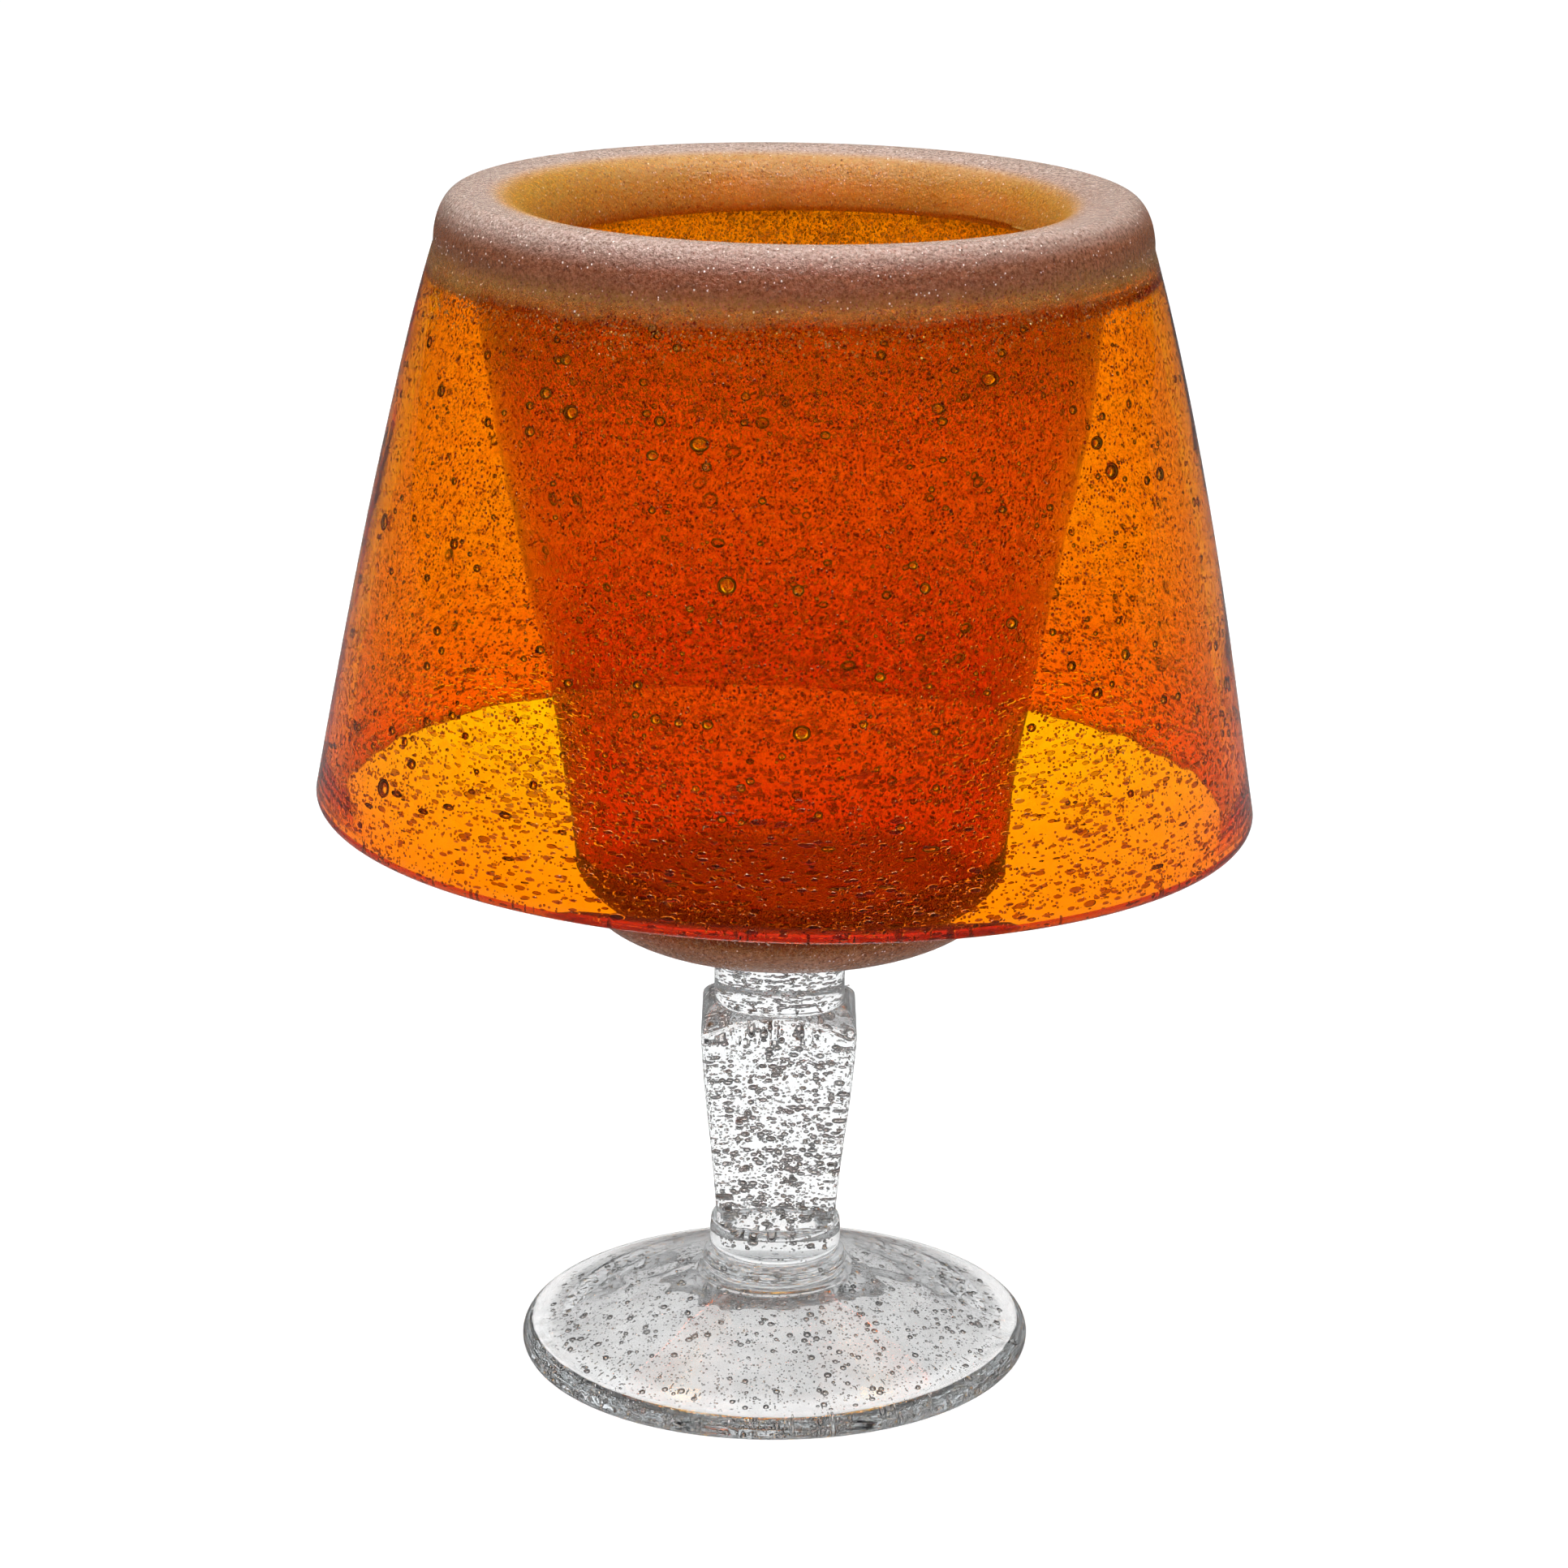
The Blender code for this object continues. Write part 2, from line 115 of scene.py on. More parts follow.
class Glass:
    """Collects one piece's outer skin and the bubbles inside it as one closed mesh."""

    def __init__(self):
        self.v, self.f, self.n, self.seed = [], [], 0, []

    def add(self, verts, faces, seed=0.0):
        self.v.append(np.asarray(verts, float))
        self.f += [tuple(int(i) + self.n for i in f) for f in faces]
        self.n += len(verts)
        self.seed += [seed] * len(verts)

    def volume_of(self, verts, faces):
        total = 0.0
        for f in faces:
            p = verts[list(f)]
            for k in range(1, len(f) - 1):
                total += np.dot(p[0], np.cross(p[k], p[k + 1])) / 6.0
        return total

    def add_skin(self, verts, faces):
        verts = np.asarray(verts, float)
        if self.volume_of(verts, faces) < 0:
            faces = [tuple(reversed(f)) for f in faces]
        self.add(verts, faces)

    def add_bubbles(self, centres, axes, level):
        """axes: for each bubble, three vectors whose lengths are its half sizes. Their faces look into the bubble."""
        bv, bf = ICO[level]
        for c, m in zip(centres, axes):
            if np.linalg.det(m) < 0:
                m = np.array([m[0], m[1], -m[2]])
            self.add(c + bv @ m, bf, 1.0)

    def make(self, name, material):
        mesh = bpy.data.meshes.new(name)
        mesh.from_pydata(np.concatenate(self.v).tolist(), [], self.f)
        mesh.update()
        mesh.shade_smooth()
        mesh.materials.append(material)
        mark = mesh.attributes.new("seed", "FLOAT", "POINT")
        mark.data.foreach_set("value", np.array(self.seed, dtype=np.float32))
        ob = bpy.data.objects.new(name, mesh)
        bpy.context.scene.collection.objects.link(ob)
        return ob


def ico(level):
    bm = bmesh.new()
    bmesh.ops.create_icosphere(bm, subdivisions=level, radius=1.0)
    v = np.array([p.co for p in bm.verts])
    f = [tuple(reversed([p.index for p in q.verts])) for q in bm.faces]
    bm.free()
    return v, f


ICO = {1: ico(1), 2: ico(2), 3: ico(3)}


def lathe(profile, segments, place=None, closed=False):
    """(verts, faces) of a turned profile. place maps arrays (r, z, angle) to x, y, z."""
    a = np.linspace(0, 2 * np.pi, segments, endpoint=False)
    verts, rows = [], []
    for r, z in profile:
        if r < 1e-6:
            aa = np.zeros(1)
        else:
            aa = a
        rr, zz = np.full(len(aa), r), np.full(len(aa), z)
        if place:
            x, y, zo = place(rr, zz, aa)
        else:
            x, y, zo = rr * np.cos(aa), rr * np.sin(aa), zz
        rows.append((sum(len(v) for v in verts), len(aa)))
        verts.append(np.stack([x, y, zo], 1))
    faces = []
    pairs = [(i, i + 1) for i in range(len(rows) - 1)] + ([(len(rows) - 1, 0)] if closed else [])
    for i, j in pairs:
        (sa, na), (sb, nb) = rows[i], rows[j]
        for k in range(segments):
            m = (k + 1) % segments
            if na == 1:
                faces.append((sa, sb + m, sb + k))
            elif nb == 1:
                faces.append((sa + k, sa + m, sb))
            else:
                faces.append((sa + k, sa + m, sb + m, sb + k))
    return np.concatenate(verts), faces


def frame_at(angle, slope, ht, hs, hn):
    """Half-size vectors of a bubble in a turned wall: along the turn, up the wall and through it."""
    out = []
    for a, s, x, y, z in zip(angle, slope, ht, hs, hn):
        t = np.array([-math.sin(a), math.cos(a), 0.0])
        radial = np.array([math.cos(a), math.sin(a), 0.0])
        up = math.sin(s) * radial + math.cos(s) * np.array([0, 0, 1.0])
        n = np.cross(t, up)
        out.append(np.array([t * x, up * y, n * z]))
    return out


def apart(points, radii, rng, gap=1.05):
    """Indices of bubbles that don't touch an earlier one."""
    keep = []
    cell = {}
    size = max(radii) * 2.2
    for i, (p, r) in enumerate(zip(points, radii)):
        key = tuple((p // size).astype(int))
        near = [j for dx in (-1, 0, 1) for dy in (-1, 0, 1) for dz in (-1, 0, 1)
                for j in cell.get((key[0] + dx, key[1] + dy, key[2] + dz), ())]
        if all(np.linalg.norm(p - points[j]) > gap * (r + radii[j]) for j in near):
            keep.append(i)
            cell.setdefault(key, []).append(i)
    return keep


# ------------------------------------------------------------------ node helpers
class Nodes:
    def __init__(self, name):
        self.mat = bpy.data.materials.new(name)
        self.mat.use_nodes = True
        self.nt = self.mat.node_tree
        self.nt.nodes.clear()
        self.out = self.nt.nodes.new("ShaderNodeOutputMaterial")
        self.bsdf = self.nt.nodes.new("ShaderNodeBsdfPrincipled")
        self.link(self.bsdf.outputs[0], self.out.inputs["Surface"])
        self.coord = self.nt.nodes.new("ShaderNodeTexCoord").outputs["Object"]

    def link(self, a, b):
        self.nt.links.new(a, b)

    def put(self, socket, value):
        if hasattr(value, "is_output"):
            self.link(value, socket)
        else:
            socket.default_value = value

    def math(self, op, a, b=0.0, c=None, clamp=False):
        n = self.nt.nodes.new("ShaderNodeMath")
        n.operation = op
        n.use_clamp = clamp
        self.put(n.inputs[0], a)
        self.put(n.inputs[1], b)
        if c is not None:
            self.put(n.inputs[2], c)
        return n.outputs[0]

    def split(self, vector):
        n = self.nt.nodes.new("ShaderNodeSeparateXYZ")
        self.put(n.inputs[0], vector)
        return n.outputs

    def combine(self, x, y, z):
        n = self.nt.nodes.new("ShaderNodeCombineXYZ")
        self.put(n.inputs[0], x)
        self.put(n.inputs[1], y)
        self.put(n.inputs[2], z)
        return n.outputs[0]

    def mapped(self, value, a, b, c=0.0, d=1.0, kind="SMOOTHSTEP"):
        n = self.nt.nodes.new("ShaderNodeMapRange")
        n.interpolation_type = kind
        n.clamp = True
        self.put(n.inputs["Value"], value)
        self.put(n.inputs["From Min"], a)
        self.put(n.inputs["From Max"], b)
        self.put(n.inputs["To Min"], c)
        self.put(n.inputs["To Max"], d)
        return n.outputs["Result"]

    def noise(self, scale, detail=2.0, rough=0.5, vector=None, distortion=0.0):
        n = self.nt.nodes.new("ShaderNodeTexNoise")
        self.put(n.inputs["Vector"], vector if vector is not None else self.coord)
        n.inputs["Scale"].default_value = scale
        n.inputs["Detail"].default_value = detail
        n.inputs["Roughness"].default_value = rough
        n.inputs["Distortion"].default_value = distortion
        return n.outputs["Fac"]

    def voronoi(self, scale, vector=None, randomness=1.0, feature="F1"):
        n = self.nt.nodes.new("ShaderNodeTexVoronoi")
        n.feature = feature
        self.put(n.inputs["Vector"], vector if vector is not None else self.coord)
        n.inputs["Scale"].default_value = scale
        n.inputs["Randomness"].default_value = randomness
        return n.outputs["Distance"], n.outputs["Color"]

    def seeds(self, scale, least, most, share, vector=None, edge=0.08):
        """Round seeds: a share of the cells holds one, of a random radius from least to most of a cell."""
        dist, colour = self.voronoi(scale, vector)
        rnd = self.split(colour)
        radius = self.mapped(rnd[0], 0.0, 1.0, least, most, "LINEAR")
        inner = self.math("SUBTRACT", radius, edge)
        body = self.mapped(dist, inner, radius, 1.0, 0.0)
        there = self.math("LESS_THAN", rnd[1], share) if not hasattr(share, "is_output") else self.math("LESS_THAN", rnd[1], share)
        return self.math("MULTIPLY", body, there), dist, radius

    def mix(self, fac, a, b):
        n = self.nt.nodes.new("ShaderNodeMix")
        n.data_type = "RGBA"
        self.put(n.inputs["Factor"], fac)
        for s, v in ((n.inputs[6], a), (n.inputs[7], b)):
            if hasattr(v, "is_output"):
                self.link(v, s)
            else:
                s.default_value = (*v, 1.0)
        return n.outputs[2]

    def mixf(self, fac, a, b):
        n = self.nt.nodes.new("ShaderNodeMix")
        n.data_type = "FLOAT"
        self.put(n.inputs["Factor"], fac)
        self.put(n.inputs[2], a)
        self.put(n.inputs[3], b)
        return n.outputs[0]

    def bump(self, height, distance, strength=1.0, normal=None):
        n = self.nt.nodes.new("ShaderNodeBump")
        n.inputs["Strength"].default_value = strength
        n.inputs["Distance"].default_value = distance
        self.put(n.inputs["Height"], height)
        if normal is not None:
            self.link(normal, n.inputs["Normal"])
        return n.outputs[0]

    def absorb(self, colour, density):
        n = self.nt.nodes.new("ShaderNodeVolumeAbsorption")
        n.inputs["Color"].default_value = (*colour, 1.0)
        n.inputs["Density"].default_value = density
        self.link(n.outputs[0], self.out.inputs["Volume"])


def paint_bubble_rim_shade(g, base, weight, dark):
    """Painted shade: a dark outline is painted on each bubble where its faces turn edge-on, in place of the light its
    edges turn away.
    """
    at = g.nt.nodes.new("ShaderNodeAttribute")
    at.attribute_type = "GEOMETRY"
    at.attribute_name = "seed"
    lw = g.nt.nodes.new("ShaderNodeLayerWeight")
    lw.inputs["Blend"].default_value = 0.5
    # painted shade: the bubble's rim darkens and loses its transmission as its face turns edge-on
    edge = g.mapped(lw.outputs["Facing"], 0.20, 0.46, 0.0, 1.0)
    bubble = g.math("GREATER_THAN", at.outputs["Fac"], 0.5)
    edge = g.math("MULTIPLY", edge, bubble)
    base = g.mix(bubble, base, (0.97, 0.93, 0.90))
    return g.mix(edge, base, dark), g.mixf(edge, weight, 0.15)


def orange_glass(name, cup=False):
    g = Nodes(name)
    x, y, z = g.split(g.coord)
    # coordinates on the turned wall, so that seeds can be drawn out sideways
    turn = g.math("MULTIPLY", g.math("ARCTAN2", x, g.math("MULTIPLY", y, -1.0)), 0.072)
    radial = g.math("SQRT", g.math("ADD", g.math("MULTIPLY", x, x), g.math("MULTIPLY", y, y)))
    wall = g.combine(turn, radial, z)
    drawn = g.combine(g.math("MULTIPLY", turn, 0.40), radial, z)

    crowd = g.noise(55.0, 3.0, 0.6)
    crowd = g.mapped(crowd, 0.34, 0.66, 0.40, 0.95, "LINEAR")
    fine, _, _ = g.seeds(1250.0, 0.12, 0.38, crowd, wall, 0.12)
    mid, _, _ = g.seeds(760.0, 0.10, 0.31, g.math("MULTIPLY", crowd, 0.38), wall, 0.08)
    long, _, _ = g.seeds(620.0, 0.12, 0.34, g.math("MULTIPLY", crowd, 0.95), drawn, 0.07)
    more, _, _ = g.seeds(1050.0, 0.14, 0.40, crowd, drawn, 0.09)
    long = g.math("MULTIPLY", g.math("MAXIMUM", long, more), g.mapped(z, 0.118, 0.158, 1.0, 0.0))
    dots = g.math("MAXIMUM", g.math("MAXIMUM", fine, mid), long)
    if cup:
        dots = g.math("MULTIPLY", dots, g.mapped(z, 0.180, 0.196, 1.0, 0.30))
        dots = g.math("MULTIPLY", dots, g.mapped(z, 0.100, 0.125, 0.35, 1.0))
    mottle = g.mapped(g.noise(420.0, 4.0, 0.7, wall), 0.42, 0.62, 0.0, 1.0)
    # half of the colour is in the skin and half in the depth, so that the ends and the thick rim stay clear
    tint = g.mix(mottle, (0.96, 0.67, 0.14), (0.845, 0.505, 0.08))
    if cup:
        # a redder tint low on the cup, most of all where one looks along its wall: painted shade for the longer path
        # of light through the glass there
        lw = g.nt.nodes.new("ShaderNodeLayerWeight")
        lw.inputs["Blend"].default_value = 0.5
        side = g.mapped(lw.outputs["Facing"], 0.25, 0.75, 0.45, 1.0)
        painted_grazing_red = g.math("MULTIPLY", g.mapped(z, 0.115, 0.155, 1.0, 0.0), side)
        tint = g.mix(painted_grazing_red, tint, (0.80, 0.035, 0.01))
    else:
        tint = g.mix(g.mapped(z, 0.112, 0.154, 0.85, 0.0), tint, (0.91, 0.27, 0.12))
    tint = g.mix(dots, tint, (0.15, 0.018, 0.002))

    # the veil of very fine seeds: towards the rim on the shade, under the bowl and near the top on the cup. Its paler
    # colours are painted light: a painted highlight on the rim's top, a painted reflection near the cup's top
    grain = g.mapped(g.noise(1500.0, 3.0, 0.75), 0.36, 0.64, 0.0, 1.0, "LINEAR")
    drift = g.math("MULTIPLY", g.math("SUBTRACT", g.noise(60.0, 4.0, 0.65), 0.5), 0.0060)
    height = g.math("ADD", z, drift)
    if cup:
        # painted reflection: near its top the cup's veil is a pale haze standing in for light mirrored off its inner
        # wall; under the bowl it is the seeds
        veil = g.math("MAXIMUM", g.mapped(z, 0.0870, 0.0985, 0.95, 0.0), g.mapped(height, 0.178, 0.198, 0.0, 0.55))
        colour = g.mix(grain, (0.26, 0.09, 0.035), (0.66, 0.34, 0.19))
        # painted reflection: the cup's upper wall takes the paler veil colour
        colour = g.mix(g.mapped(z, 0.150, 0.180), colour, g.mix(grain, (0.62, 0.34, 0.19), (0.95, 0.62, 0.42)))
        clear_part = 0.45
    else:
        veil = g.mapped(height, 0.1990, 0.2155, 0.0, 1.0)
        # painted backlight: on the funnel inside the throat the veil is the glass's own orange, made bright and
        # mostly opaque in place of the light shining through it
        funnel_painted_backlight = g.math("MULTIPLY", g.mapped(radial, 0.0480, 0.0540, 1.0, 0.0), g.mapped(z, 0.2085, 0.2095, 0.0, 1.0))
        veil = g.mixf(funnel_painted_backlight, veil, 0.75)
        low = g.mix(grain, (0.21, 0.074, 0.029), (0.52, 0.23, 0.118))
        low = g.mix(g.mapped(veil, 0.25, 0.85), (0.52, 0.150, 0.028), low)
        # painted highlight: the rim's top takes a much paler colour than its sides, standing in for the top light
        # falling on it
        painted_lit_top = g.mix(grain, (0.42, 0.290, 0.225), (0.88, 0.72, 0.62))
        colour = g.mix(g.mapped(z, 0.2150, 0.2200), low, painted_lit_top)
        colour = g.mix(funnel_painted_backlight, colour, g.mix(grain, (0.85, 0.30, 0.015), (1.0, 0.58, 0.07)))
        clear_part = g.mixf(funnel_painted_backlight, 0.40, 0.40)
    # a fine stipple whose share of the wall grows with the veil
    stipple, _, _ = g.seeds(1700.0, 0.30, 0.62, g.mapped(veil, 0.0, 0.8, 0.0, 1.0, "LINEAR"), wall, 0.20)
    solid = g.mapped(veil, 0.45, 1.0, 0.0, 1.0)
    cover = g.math("MAXIMUM", g.math("MULTIPLY", stipple, g.mapped(veil, 0.0, 0.6, 0.35, 1.0)), solid)
    # painted glints: tiny opaque near-white specks in the veil stand in for light glinting off the seeds
    painted_glint, _, _ = g.seeds(1150.0, 0.10, 0.26, g.math("MULTIPLY", veil, 0.34), wall, 0.05)
    pits, _, _ = g.seeds(880.0, 0.10, 0.30, g.math("MULTIPLY", veil, 0.50), wall, 0.07)
    colour = g.mix(g.math("MULTIPLY", pits, 0.60), colour, (0.15, 0.055, 0.03))
    colour = g.mix(painted_glint, colour, (1.0, 0.92, 0.84))
    base = g.mix(cover, tint, colour)
    weight = g.mixf(cover, 1.0, clear_part)
    weight = g.mixf(painted_glint, weight, 0.0)
    # painted shade on the bubbles' rims, dark brown
    base, weight = paint_bubble_rim_shade(g, base, weight, (0.10, 0.018, 0.003))
    g.link(base, g.bsdf.inputs["Base Color"])
    g.link(weight, g.bsdf.inputs["Transmission Weight"])
    g.link(g.mixf(cover, g.mixf(dots, 0.02, 0.20), 0.16), g.bsdf.inputs["Roughness"])
    g.bsdf.inputs["IOR"].default_value = 1.5
    g.bsdf.inputs["Specular IOR Level"].default_value = 0.22

    waves = g.noise(34.0, 2.0, 0.5)
    n1 = g.bump(waves, 0.0012, 0.25)
    rough = g.math("ADD", g.math("MULTIPLY", pits, 1.6), g.math("MULTIPLY", g.math("MULTIPLY", g.noise(950.0, 3.0, 0.75), cover), 9.0))
    n2 = g.bump(g.math("ADD", dots, rough), 0.00010, 0.9, n1)
    g.link(n2, g.bsdf.inputs["Normal"])
    g.absorb((0.984, 0.938, 0.0) if cup else (0.9925, 0.935, 0.0), 1600.0)
    return g.mat


def clear_glass(name, grey=0.82):
    g = Nodes(name)
    x, y, z = g.split(g.coord)
    fine, _, _ = g.seeds(1400.0, 0.10, 0.36, 0.50, None, 0.10)
    fx = g.math("SUBTRACT", x, FOOT_X)
    radial = g.math("SQRT", g.math("ADD", g.math("MULTIPLY", fx, fx), g.math("MULTIPLY", y, y)))
    rim = g.mapped(radial, 0.0400, 0.0440, 0.0, 1.0)
    fine = g.math("MULTIPLY", fine, g.mixf(rim, 1.0, 0.15))
    # painted shade: the foot inside its rim is tinted a patchy grey
    foot = g.math("MULTIPLY", g.mapped(z, 0.0150, 0.0200, 1.0, 0.0), g.math("SUBTRACT", 1.0, rim))
    painted_shade_patches = g.mapped(g.noise(110.0, 3.0, 0.6), 0.35, 0.65, 0.0, 1.0)
    # the rim ring stays nearly clear against the grey glass, a painted bright line
    glass_tone_painted_light = g.mix(rim, (grey, grey, grey), (0.99, 0.99, 0.99))
    glass_tone_painted_light = g.mix(g.math("MULTIPLY", foot, g.mixf(painted_shade_patches, 0.5, 1.0)), glass_tone_painted_light, (0.58, 0.58, 0.58))
    base = g.mix(fine, glass_tone_painted_light, (0.17, 0.17, 0.175))
    # painted shade on the bubbles' rims, near black
    base, weight = paint_bubble_rim_shade(g, base, 1.0, (0.03, 0.03, 0.032))
    g.link(base, g.bsdf.inputs["Base Color"])
    g.link(weight, g.bsdf.inputs["Transmission Weight"])
    g.link(g.mixf(fine, 0.01, 0.2), g.bsdf.inputs["Roughness"])
    g.bsdf.inputs["IOR"].default_value = 1.5
    waves = g.noise(60.0, 2.0, 0.5)
    g.link(g.bump(fine, 0.00006, 0.5, g.bump(waves, 0.0010, 0.25)), g.bsdf.inputs["Normal"])
    g.absorb((0.90, 0.92, 0.93), 30.0)
    return g.mat


# ------------------------------------------------------------------ outlines of the pieces
def cup_outer(z):
    t = (z - CUP_TAPER_LOW_Z) / (CUP_TAPER_HIGH_Z - CUP_TAPER_LOW_Z)
    return CUP_BASE_RADIUS + (CUP_RIM_RADIUS - CUP_BASE_RADIUS) * smooth(t)


def cup_profile():
    wide = float(cup_outer(CUP_BOWL_Z))
    depth = CUP_BOWL_Z - CUP_BOTTOM_Z
    start = math.acos((CUP_PAD_RADIUS / wide) ** (CUP_BOWL_POWER_R / 2.0))
    a = start * (1.0 - np.arange(1, 41) / 40) ** 0.85
    bowl = np.stack([wide * np.cos(a) ** (2.0 / CUP_BOWL_POWER_R),
                     CUP_BOWL_Z - depth * np.sin(a) ** (2.0 / CUP_BOWL_POWER_Z)], 1)
    z = np.linspace(CUP_BOWL_Z, CUP_TOP_Z - CUP_WALL / 2, 70)[1:]
    wall = np.stack([cup_outer(z), z], 1)
    rim = float(cup_outer(CUP_TOP_Z)) - CUP_WALL / 2
    top = arc(rim, CUP_TOP_Z - CUP_WALL / 2, CUP_WALL / 2, CUP_WALL / 2, 0, 180, 16)[1:]
    low = CUP_FLOOR_Z + 0.0130
    z = np.linspace(CUP_TOP_Z - CUP_WALL / 2, low, 66)[1:]
    inner = np.stack([cup_outer(z) - CUP_WALL, z], 1)
    corner = float(cup_outer(low)) - CUP_WALL
    floor = arc(CUP_FLOOR_RADIUS, low, corner - CUP_FLOOR_RADIUS, low - CUP_FLOOR_Z, 0, -90, 20)[1:]
    pad = np.array([(0.0, CUP_BOTTOM_Z), (CUP_PAD_RADIUS * 0.5, CUP_BOTTOM_Z), (CUP_PAD_RADIUS, CUP_BOTTOM_Z)])
    end = np.array([(CUP_FLOOR_RADIUS * 0.6, CUP_FLOOR_Z), (0.0, CUP_FLOOR_Z)])
    return join(pad, bowl, wall, top, inner, floor, end)


def skirt_outer(z):
    low = SKIRT_BOTTOM_Z + SKIRT_BEAD
    t = (z - low) / (SHOULDER_Z - low)
    nodes = (0.0, 1 / 3, 2 / 3, 1.0)
    total = 0.0
    for i, ti in enumerate(nodes):
        w = 1.0
        for j, tj in enumerate(nodes):
            if i != j:
                w = w * (t - tj) / (ti - tj)
        total = total + SKIRT_R[i] * w
    return total


def shade_profile():
    low = SKIRT_BOTTOM_Z + SKIRT_BEAD
    bead = arc(SKIRT_R[0] - SKIRT_BEAD, low, SKIRT_BEAD, SKIRT_BEAD, -180, 0, 20)
    z = np.linspace(low, SHOULDER_Z, 70)[1:]
    skirt = np.stack([skirt_outer(z), z], 1)
    shoulder = arc(CREST_RADIUS, SHOULDER_Z, SKIRT_R[3] - CREST_RADIUS, CREST_Z - SHOULDER_Z, 0, 90, 24)[1:]
    t = np.linspace(0, 1, 13)[1:]
    lip = np.stack([CREST_RADIUS + (LIP_RADIUS - CREST_RADIUS) * t, CREST_Z + (LIP_Z - CREST_Z) * t * t], 1)
    slope = 2.0 * (CREST_Z - LIP_Z) / (CREST_RADIUS - LIP_RADIUS)
    funnel = bezier((LIP_RADIUS, LIP_Z), (LIP_RADIUS - 0.0022, LIP_Z - 0.0022 * slope),
                    (THROAT_RADIUS + 0.0004, THROAT_Z + 0.0040), (THROAT_RADIUS, THROAT_Z), 20)[1:]
    edge = arc(THROAT_RADIUS + THROAT_EDGE, THROAT_Z - 0.0002, THROAT_EDGE, THROAT_EDGE, 180, 270, 8)[1:]
    hang = THROAT_Z - 0.0002 - THROAT_EDGE
    inner_top = float(skirt_outer(SEAT_Z)) - SKIRT_WALL - 0.0006
    seat = np.array([(THROAT_RADIUS + 0.0030, hang), (THROAT_RADIUS + 0.0050, SEAT_Z), (inner_top - 0.0024, SEAT_Z)])
    corner = arc(inner_top - 0.0024, SEAT_Z - 0.0024, 0.0024, 0.0024, 70, 0, 6)
    z = np.linspace(SEAT_Z - 0.0024, low + 0.0060, 66)[1:]
    inner = np.stack([skirt_outer(z) - SKIRT_WALL, z], 1)
    return join(bead, skirt, shoulder, lip, funnel, edge, seat, corner, inner, closed=True)


def shade_place(r, z, a):
    # a hand-blown skirt is never quite round or even
    wob = 0.00022 * np.sin(2 * a + 0.7) + 0.00015 * np.sin(3 * a + z * 30 + 2.0)
    wob = (wob - 0.00037) * smooth((SEAT_Z - 0.004 - z) / 0.03)
    r = r + wob
    x, y, zz = r * np.cos(a), r * np.sin(a), z - SEAT_Z
    on_seat = (np.abs(zz) < 0.00005) | ((zz < THROAT_Z - SEAT_Z) & (r < LIP_RADIUS) & (zz > -0.003))
    tx, ty, tz = leaning(x, y, zz, 0.0, SHADE_LEAN)
    f = smooth(1.0 - (z - SKIRT_BOTTOM_Z) / EDGE_FADE)
    tz = tz - f * (EDGE_SLANT * tx + EDGE_DROP)
    tz = np.where(on_seat, zz, tz)
    return tx + SHADE_X, ty, tz + SEAT_Z


def cup_place(r, z, a):
    wob = (0.00018 * np.sin(2 * a + 2.1) + 0.00012 * np.sin(3 * a - z * 25)) * smooth((z - 0.095) / 0.02) * smooth((CUP_TOP_Z - 0.004 - z) / 0.02)
    r = r + wob
    return r * np.cos(a) + CUP_X, r * np.sin(a), z


# ------------------------------------------------------------------ pieces
rng = np.random.default_rng(41)


def wall_bubbles(body, outer, wall, place, z_range, count, half, level, rng, flat=(0.5, 0.8), long_low=None, taken=None):
    """Bubbles inside a thin turned wall; half gives the range of half widths."""
    z = rng.uniform(*z_range, count)
    a = rng.uniform(0, 2 * np.pi, count)
    ht = rng.uniform(*half, count) * rng.uniform(0.8, 1.2, count)
    hs = ht * rng.uniform(0.75, 1.0, count)
    if long_low is not None:
        k = smooth((long_low - z) / 0.012)
        ht = ht * (1.0 + 1.1 * k * rng.uniform(0.3, 1.0, count))
        hs = hs * (1.0 - 0.40 * k)
    hn = np.minimum(ht * rng.uniform(*flat, count), wall * 0.38)
    dz = 1e-4
    slope = np.arctan((outer(z + dz) - outer(z - dz)) / (2 * dz))
    room = wall / 2 - hn - 0.00015
    off = rng.uniform(-1, 1, count) * np.maximum(room, 0)
    r = outer(z) - wall / 2 + off
    x, y, zz = place(r, z, a)
    pts = np.stack([x, y, zz], 1)
    order = np.argsort(-ht)
    keep = [order[i] for i in apart(pts[order], np.maximum(ht, hs)[order], rng)]
    keep = np.array(keep)
    body.add_bubbles(pts[keep], frame_at(a[keep], slope[keep], ht[keep], hs[keep], hn[keep]), level)
    return len(keep)


orange = orange_glass("shade_orange_glass")
orange_cup = orange_glass("cup_orange_glass", cup=True)
clear = clear_glass("clear_seeded_glass")

shade = Glass()
shade.add_skin(*lathe(shade_profile(), SEG, shade_place, closed=True))
wall_bubbles(shade, skirt_outer, SKIRT_WALL, shade_place, (0.114, 0.200), 45, (0.0011, 0.0017), 3, rng, (0.5, 0.7))
wall_bubbles(shade, skirt_outer, SKIRT_WALL, shade_place, (0.1125, 0.206), 420, (0.00045, 0.0010), 2, rng, (0.6, 0.9), 0.130)
wall_bubbles(shade, skirt_outer, SKIRT_WALL, shade_place, (0.1115, 0.207), 1800, (0.00022, 0.00045), 1, rng, (0.7, 1.0), 0.135)
shade_ob = shade.make("shade_glass", orange)
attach(shade_ob, "shade")
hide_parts("lamp_shade")

